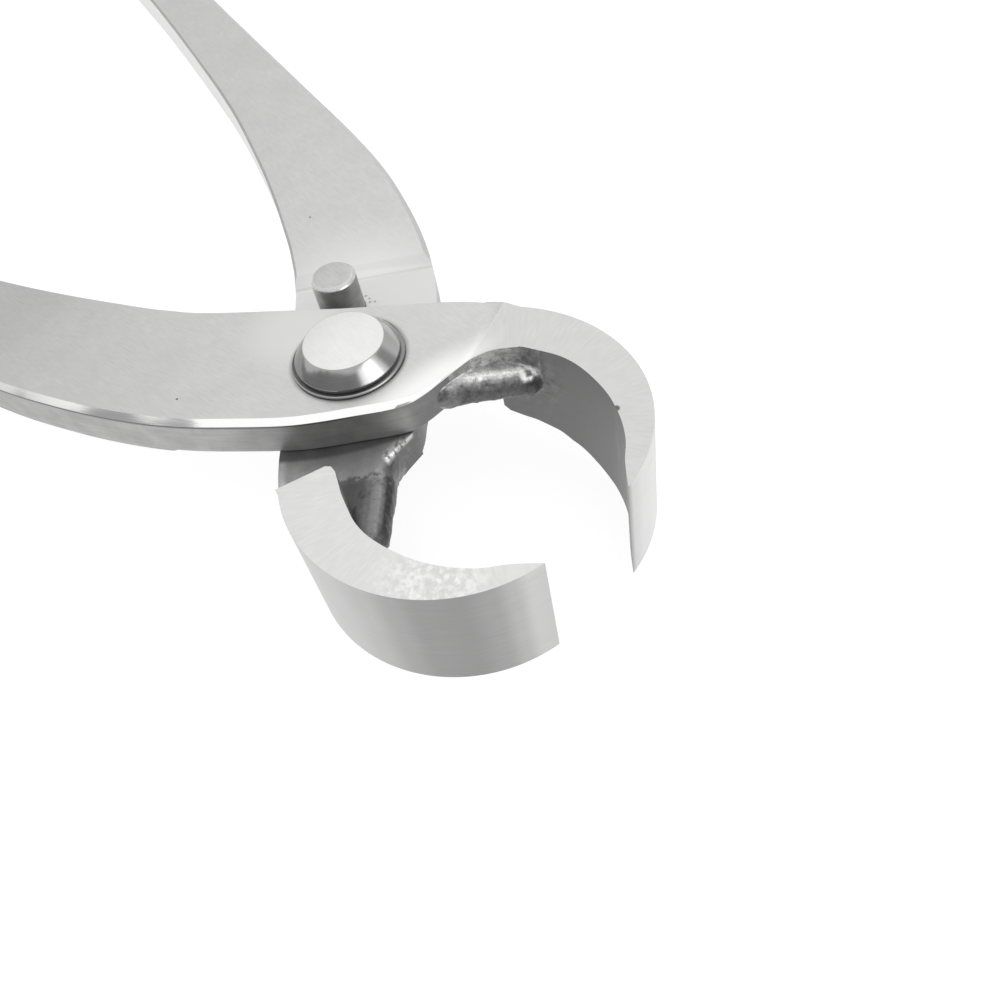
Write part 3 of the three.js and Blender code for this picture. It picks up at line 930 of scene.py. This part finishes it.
def bend(pair):
    return pair[0].normal.angle(pair[1].normal, 0)


def round_edges(piece, width):
    """Bevels the sharp edges that are long enough to take the width, away from the webs and cutting edges."""
    mesh = piece.data
    shortest = {}
    for edge in mesh.edges:
        length = (mesh.vertices[edge.vertices[0]].co - mesh.vertices[edge.vertices[1]].co).length
        for i in edge.vertices:
            shortest[i] = min(shortest.get(i, math.inf), length)
    weights = mesh.attributes.new("bevel_weight_edge", "FLOAT", "EDGE")
    for edge, pair in edge_pairs(mesh):
        long_enough = min(shortest[i] for i in edge.vertices) >= 3 * width
        smooth_beside = all(face.material_index != CAST_SKIN for face in pair)
        if ROUNDED_FROM < bend(pair) < ROUNDED_TO and long_enough and smooth_beside:
            weights.data[edge.index].value = 1.0
    apply_modifier(piece, "BEVEL", width=width, segments=2, limit_method="WEIGHT", use_clamp_overlap=True)


def cut_web_skin(piece, side, step):
    """Cuts the webs' rough faces into a fine lattice, so that they can be shaped."""
    with editing(piece):
        piece.active_material_index = CAST_SKIN
        for axis, (low, high) in enumerate(WEB_SPANS[side]):
            way = [0, 0, 0]
            way[axis] = 1
            normal = row_place(way, side).normalized()
            for level in lattice(low, high, step):
                point = [0, 0, 0]
                point[axis] = level
                bpy.ops.mesh.select_all(action="DESELECT")
                bpy.ops.object.material_slot_select()
                bpy.ops.mesh.bisect(plane_co=row_place(point, side), plane_no=normal)


def roughen_web(piece, side, sizes):
    """Softens the webs' facets, then raises lumps in their skin."""
    mesh = piece.data
    skin = set()
    fixed = set()
    for face in mesh.polygons:
        (skin if face.material_index == CAST_SKIN else fixed).update(face.vertices)
    skin -= fixed
    group = piece.vertex_groups.new(name="web_skin")
    group.add(list(skin), 1.0, "REPLACE")
    apply_modifier(piece, "SMOOTH", factor=0.5, iterations=SKIN_ROUNDS, vertex_group="web_skin")
    if side == LOWER:
        brow = piece.vertex_groups.new(name="web_brow")
        high = [i for i in skin if mesh.vertices[i].co.z / MM > LOWER_LAP - BROW_DEPTH]
        brow.add(high, 1.0, "REPLACE")
        apply_modifier(piece, "SMOOTH", factor=0.5, iterations=BROW_ROUNDS, vertex_group="web_brow")
    lumps = bpy.data.textures.new("cast_lumps", "CLOUDS")
    lumps.noise_scale = LUMP_SIZE
    lumps.noise_depth = 4
    apply_modifier(
        piece, "DISPLACE", texture=lumps, texture_coords="LOCAL", strength=sizes.web_roughness,
        mid_level=0.5, vertex_group="web_skin",
    )


def smooth_half(piece):
    """Smooths curves, rounded edges and the soft borders of the ramps, and keeps the big flats flat."""
    focus(piece)
    bpy.ops.object.shade_smooth_by_angle(angle=HALF_SMOOTH)
    flats = {HALF_SLOTS.index(name) for name in ("handle_flat", "jaw_flat", "lap_face")}
    for edge, pair in edge_pairs(piece.data):
        both_flat = all(face.material_index in flats for face in pair)
        steep = min(abs(face.normal.z) for face in pair) < LEVEL_LEAN
        if both_flat and steep and bend(pair) > CRISP_BEND:
            edge.use_edge_sharp = True
    apply_modifier(piece, "WEIGHTED_NORMAL", mode="FACE_AREA", weight=50, keep_sharp=True)


def build_half(context, node, name, side, body):
    sizes = context.scene.cutter_sizes
    piece = fresh_copy(node, name)
    if side == UPPER:
        close_slivers(piece, side)
    paint_half(piece, side, context.scene.cutter_looks)
    round_edges(piece, sizes.edge_round)
    cut_web_skin(piece, side, sizes.web_cell / MM)
    roughen_web(piece, side, sizes)
    smooth_half(piece)
    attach(piece, body)
    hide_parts(node)


# Turned pieces

def turn(name, profile, centre, sides=128):
    """A turned piece: a circle of edges drawn out through (radius, height) steps in mm, then closed."""
    bpy.ops.object.select_all(action="DESELECT")
    radius, height = profile[0]
    solid = profile[-1] != profile[0]
    bpy.ops.mesh.primitive_circle_add(
        vertices=sides, radius=radius * MM, fill_type="NGON" if solid else "NOTHING",
        location=(centre[0] * MM, centre[1] * MM, height * MM),
    )
    piece = bpy.context.object
    piece.name = name
    bpy.ops.object.transform_apply(location=True, rotation=True, scale=True)
    with editing(piece, "EDGE"):
        bpy.ops.mesh.select_all(action="SELECT")
        for next_radius, next_height in profile[1:]:
            bpy.ops.mesh.extrude_region_move(
                TRANSFORM_OT_translate={"value": (0, 0, (next_height - height) * MM)}
            )
            ratio = next_radius / radius
            if ratio != 1:
                bpy.ops.transform.resize(
                    value=(ratio, ratio, 1),
                    center_override=(centre[0] * MM, centre[1] * MM, next_height * MM),
                )
            radius, height = next_radius, next_height
        bpy.ops.mesh.select_all(action="SELECT")
        bpy.ops.mesh.remove_doubles(threshold=TURNED_MERGE)
        bpy.ops.mesh.normals_make_consistent(inside=False)
    return piece


def turned_slot(face):
    """Slot of the flat, bevel or upright finish that belongs on a face."""
    lean = abs(face.normal.z)
    if lean > 0.95:
        return 0
    return 2 if lean < 0.1 and face.area > SMALLEST_SIDE else 1


def finish_turned(piece, finishes, node, body, looks):
    """Rounds the edges and paints the flats, bevels and upright sides with the three finishes."""
    apply_modifier(
        piece, "BEVEL", width=TURNED_ROUND, segments=3, limit_method="ANGLE",
        angle_limit=math.radians(20), use_clamp_overlap=True,
    )
    for name in finishes:
        material = bpy.data.materials.get(name) or TURNED_FINISHES[name](name, None, looks)
        piece.data.materials.append(material)
    for face in piece.data.polygons:
        face.material_index = turned_slot(face)
    focus(piece)
    bpy.ops.object.shade_smooth_by_angle(angle=TURNED_SMOOTH)
    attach(piece, body)
    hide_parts(node)


# Settings

class CutterSizes(bpy.types.PropertyGroup):
    edge_round: bpy.props.FloatProperty(
        name="Edge rounding", description="Width of the worn rounding along the forged halves' sharp edges",
        default=0.00012, min=0, max=0.001, unit="LENGTH", precision=5,
    )
    web_cell: bpy.props.FloatProperty(
        name="Web cell", description="Spacing of the lattice that carries the webs' cast roughness",
        default=0.0003, min=0.0002, max=0.001, unit="LENGTH", precision=5,
    )
    web_roughness: bpy.props.FloatProperty(
        name="Web roughness", description="Height of the lumps in the webs' cast skin",
        default=0.0004, min=0, max=0.001, unit="LENGTH", precision=5,
    )


def tone_setting(name, description, default):
    return bpy.props.FloatProperty(
        name=name, description=description, default=default, min=0, max=1, subtype="FACTOR",
    )


class CutterLooks(bpy.types.PropertyGroup):
    ground_tone: tone_setting("Ground tone", "Lightness of the ground flat faces", 0.5)
    ground_roughness: tone_setting("Ground roughness", "Roughness of the ground flat faces", 0.36)
    # The chamfer's near-white tone stands partly for a painted highlight
    chamfer_tone: tone_setting("Chamfer tone", "Lightness of the polished outer chamfer", 1.0)
    # The sides' tones are held low as painted shade, darkest at the joint
    side_dark: tone_setting("Dark side tone", "Lightness of the plates' sides at the joint", 0.3)
    side_light: tone_setting("Light side tone", "Lightness of the handles' sides", 0.52)
    turned_tone: tone_setting("Turned tone", "Lightness of the rivet's faced top", 0.63)


class CutterStudio(bpy.types.PropertyGroup):
    world_light: bpy.props.FloatProperty(
        name="World light", description="Strength of the even light from all round",
        default=0.8, min=0, max=4,
    )
    key_power: bpy.props.FloatProperty(
        name="Key lamp", description="Power of the large soft lamp",
        default=0.6, min=0, max=50, unit="POWER",
    )


# Operators

class CUTTER_OT_upper_half(bpy.types.Operator):
    """Finish the upper half: ground faces, forged sides, cast web and cutting jaw"""

    bl_idname = "cutter.upper_half"
    bl_label = "Upper Half"

    def execute(self, context):
        build_half(context, "upper_half", "upper_forging", UPPER, "upper")
        return {"FINISHED"}


class CUTTER_OT_lower_half(bpy.types.Operator):
    """Finish the lower half: ground faces, forged sides, cast web and cutting jaw"""

    bl_idname = "cutter.lower_half"
    bl_label = "Lower Half"

    def execute(self, context):
        build_half(context, "lower_half", "lower_forging", LOWER, "lower")
        return {"FINISHED"}


class CUTTER_OT_rivet(bpy.types.Operator):
    """Turn the pivot: bevelled rivet, thin washer under its head and collar below"""

    bl_idname = "cutter.rivet"
    bl_label = "Rivet, Washer and Collar"

    def execute(self, context):
        looks = context.scene.cutter_looks
        rivet = turn("rivet", RIVET_PROFILE, (0, 0))
        washer = turn("washer", WASHER_PROFILE, (0, 0))
        collar = turn("collar", COLLAR_PROFILE, (0, 0))
        # Upright sides of the rivet, washer and collar take the painted shade
        finish_turned(rivet, ("turned_top", "polished", "painted_shade_rim"), "pivot_rivet", "upper", looks)
        finish_turned(washer, ("washer_ring", "washer_ring", "painted_shade_rim"), "pivot_washer", "upper", looks)
        finish_turned(collar, ("turned_top", "polished", "painted_shade_rim"), "pivot_collar", "upper", looks)
        return {"FINISHED"}


class CUTTER_OT_stop_pin(bpy.types.Operator):
    """Turn the stop pin that stands in the lower half"""

    bl_idname = "cutter.stop_pin"
    bl_label = "Stop Pin"

    def execute(self, context):
        looks = context.scene.cutter_looks
        low, high = (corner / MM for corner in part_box("stop_pin"))
        centre = (low + high) / 2
        radius = (high.x - low.x) / 2
        profile = ((radius - PIN_BEVEL, high.z), (radius, high.z - PIN_BEVEL), (radius, low.z))
        pin = turn("pin", profile, centre)
        finish_turned(pin, ("pin_top", "bright_bevel", "pin_side"), "stop_pin", "lower", looks)
        return {"FINISHED"}


# Studio

class CUTTER_OT_studio(bpy.types.Operator):
    """Set the pale table, the soft light and the camera"""

    bl_idname = "cutter.studio"
    bl_label = "Studio"

    def execute(self, context):
        studio = context.scene.cutter_studio
        make_world(context.scene, studio)
        make_table()
        make_lamps(studio)
        make_ring()
        make_camera(context.scene)
        context.scene.view_settings.view_transform = "Standard"
        return {"FINISHED"}


def seen_rays(tree):
    """One for camera, glossy and transmission rays, nothing for the others."""
    path = add_node(tree, "ShaderNodeLightPath")
    first = add_node(
        tree, "ShaderNodeMath", {0: path.outputs["Is Camera Ray"], 1: path.outputs["Is Glossy Ray"]},
        operation="MAXIMUM",
    )
    return add_node(
        tree, "ShaderNodeMath", {0: first.outputs[0], 1: path.outputs["Is Transmission Ray"]},
        operation="MAXIMUM",
    ).outputs[0]


def make_world(scene, studio):
    world = bpy.data.worlds.new("studio_world")
    scene.world = world
    world.use_nodes = True
    tree = world.node_tree
    tree.nodes.clear()
    even = add_node(tree, "ShaderNodeBackground", {"Color": (1, 1, 1, 1), "Strength": studio.world_light})
    white = add_node(tree, "ShaderNodeBackground", {"Color": (1, 1, 1, 1), "Strength": 1.0})
    mixed = add_node(
        tree, "ShaderNodeMixShader", {0: seen_rays(tree), 1: even.outputs[0], 2: white.outputs[0]}
    )
    output = add_node(tree, "ShaderNodeOutputWorld")
    tree.links.new(mixed.outputs[0], output.inputs[0])


def make_table():
    bpy.ops.object.select_all(action="DESELECT")
    bpy.ops.mesh.primitive_plane_add(size=TABLE_SIZE, location=(0, 0, TABLE_HEIGHT * MM))
    table = bpy.context.object
    table.name = "table"
    material = bpy.data.materials.new("pale_table")
    material.use_nodes = True
    tree = material.node_tree
    tree.nodes.clear()
    cloth = add_node(tree, "ShaderNodeBsdfDiffuse", {"Color": (TABLE_TONE, TABLE_TONE, TABLE_TONE, 1)})
    glow = add_node(tree, "ShaderNodeEmission", {"Color": (1, 1, 1, 1)})
    strength = add_node(tree, "ShaderNodeMath", {0: seen_rays(tree), 1: TABLE_GLOW}, operation="MULTIPLY")
    tree.links.new(strength.outputs[0], glow.inputs["Strength"])
    both = add_node(tree, "ShaderNodeAddShader", {0: cloth.outputs[0], 1: glow.outputs[0]})
    output = add_node(tree, "ShaderNodeOutputMaterial")
    tree.links.new(both.outputs[0], output.inputs[0])
    table.data.materials.append(material)
    table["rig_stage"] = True


def make_lamps(studio):
    lamp_data = bpy.data.lights.new("key_lamp", "AREA")
    lamp_data.shape = "DISK"
    lamp_data.size = LAMP_SIZE
    lamp_data.energy = studio.key_power
    lamp = bpy.data.objects.new("key_lamp", lamp_data)
    lamp.location = LAMP_PLACE
    lamp.rotation_euler = (-lamp.location).to_track_quat("-Z", "Y").to_euler()
    bpy.context.scene.collection.objects.link(lamp)


def make_ring():
    """A ring of dark and bright cards round the tool that only reflections see."""
    bpy.ops.object.select_all(action="DESELECT")
    bpy.ops.mesh.primitive_cylinder_add(
        vertices=96, radius=RING_RADIUS, depth=RING_HEIGHT, end_fill_type="NOTHING",
        location=(0, 0, RING_HEIGHT / 2 + TABLE_HEIGHT * MM),
    )
    ring = bpy.context.object
    ring.name = "reflector_ring"
    bpy.ops.object.transform_apply(location=True, rotation=True, scale=True)
    bpy.ops.object.shade_smooth()
    steel = Steel("reflector_cards", 0, 0)
    bearing = steel.math("ARCTAN2", steel.part("Y"), steel.part("X"))
    turn_share = steel.math("MULTIPLY_ADD", bearing, 0.5 / math.pi, 0.5)
    glow = steel.curve(turn_share, [((a + 180) / 360, tone / RING_GAIN) for a, tone, top in RING_CARDS])
    tops = steel.curve(
        turn_share, [((a + 180) / 360, math.tan(math.radians(top))) for a, tone, top in RING_CARDS]
    )
    height = steel.math("DIVIDE", steel.part("Z"), RING_RADIUS)
    card = steel.rise(steel.math("SUBTRACT", height, tops), CARD_FADE, -CARD_FADE)
    light = steel.node("ShaderNodeEmission", {"Color": glow, "Strength": RING_GAIN})
    clear = steel.node("ShaderNodeBsdfTransparent")
    mixed = steel.node("ShaderNodeMixShader", {0: card, 1: clear.outputs[0], 2: light.outputs[0]})
    output = steel.node("ShaderNodeOutputMaterial")
    steel.tree.links.new(mixed.outputs[0], output.inputs[0])
    ring.data.materials.append(steel.material)
    ring.visible_camera = False
    ring.visible_diffuse = False
    ring.visible_shadow = False
    ring.visible_transmission = False
    ring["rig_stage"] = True


def make_camera(scene):
    right, down, forward = (Vector(way) for way in (CAMERA_RIGHT, CAMERA_DOWN, CAMERA_FORWARD))
    axes = Matrix((right, -down, -forward)).transposed().to_4x4()
    data = bpy.data.cameras.new("photo_camera")
    data.sensor_width = SENSOR_WIDTH
    data.lens = CAMERA_FOCAL_SHARE * SENSOR_WIDTH
    data.clip_start = CAMERA_CLIP
    camera = bpy.data.objects.new("photo_camera", data)
    camera.matrix_world = Matrix.Translation(Vector(CAMERA_PLACE) * MM) @ axes
    scene.collection.objects.link(camera)
    scene.camera = camera


class CUTTER_PT_panel(bpy.types.Panel):
    bl_label = "Concave Branch Cutter"
    bl_idname = "CUTTER_PT_panel"
    bl_space_type = "VIEW_3D"
    bl_region_type = "UI"
    bl_category = "Cutter"

    def draw(self, context):
        for operator in OPERATORS:
            self.layout.operator(operator.bl_idname)
        for group in (context.scene.cutter_sizes, context.scene.cutter_looks, context.scene.cutter_studio):
            for name in group.__annotations__:
                self.layout.prop(group, name)


GROUPS = {"cutter_sizes": CutterSizes, "cutter_looks": CutterLooks, "cutter_studio": CutterStudio}
OPERATORS = (
    CUTTER_OT_upper_half,
    CUTTER_OT_lower_half,
    CUTTER_OT_rivet,
    CUTTER_OT_stop_pin,
    CUTTER_OT_studio,
)


def register():
    for name, group in GROUPS.items():
        bpy.utils.register_class(group)
        setattr(bpy.types.Scene, name, bpy.props.PointerProperty(type=group))
    for operator in OPERATORS:
        bpy.utils.register_class(operator)
    bpy.utils.register_class(CUTTER_PT_panel)


def unregister():
    bpy.utils.unregister_class(CUTTER_PT_panel)
    for operator in reversed(OPERATORS):
        bpy.utils.unregister_class(operator)
    for name, group in GROUPS.items():
        delattr(bpy.types.Scene, name)
        bpy.utils.unregister_class(group)


def main():
    register()
    bpy.ops.cutter.upper_half()
    bpy.ops.cutter.lower_half()
    bpy.ops.cutter.rivet()
    bpy.ops.cutter.stop_pin()
    bpy.ops.cutter.studio()
    boxes = {"cad": cad_box, "visual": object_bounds()}
    {name: [list(corner) for corner in box] for name, box in boxes.items()}


if __name__ == "__main__":
    main()
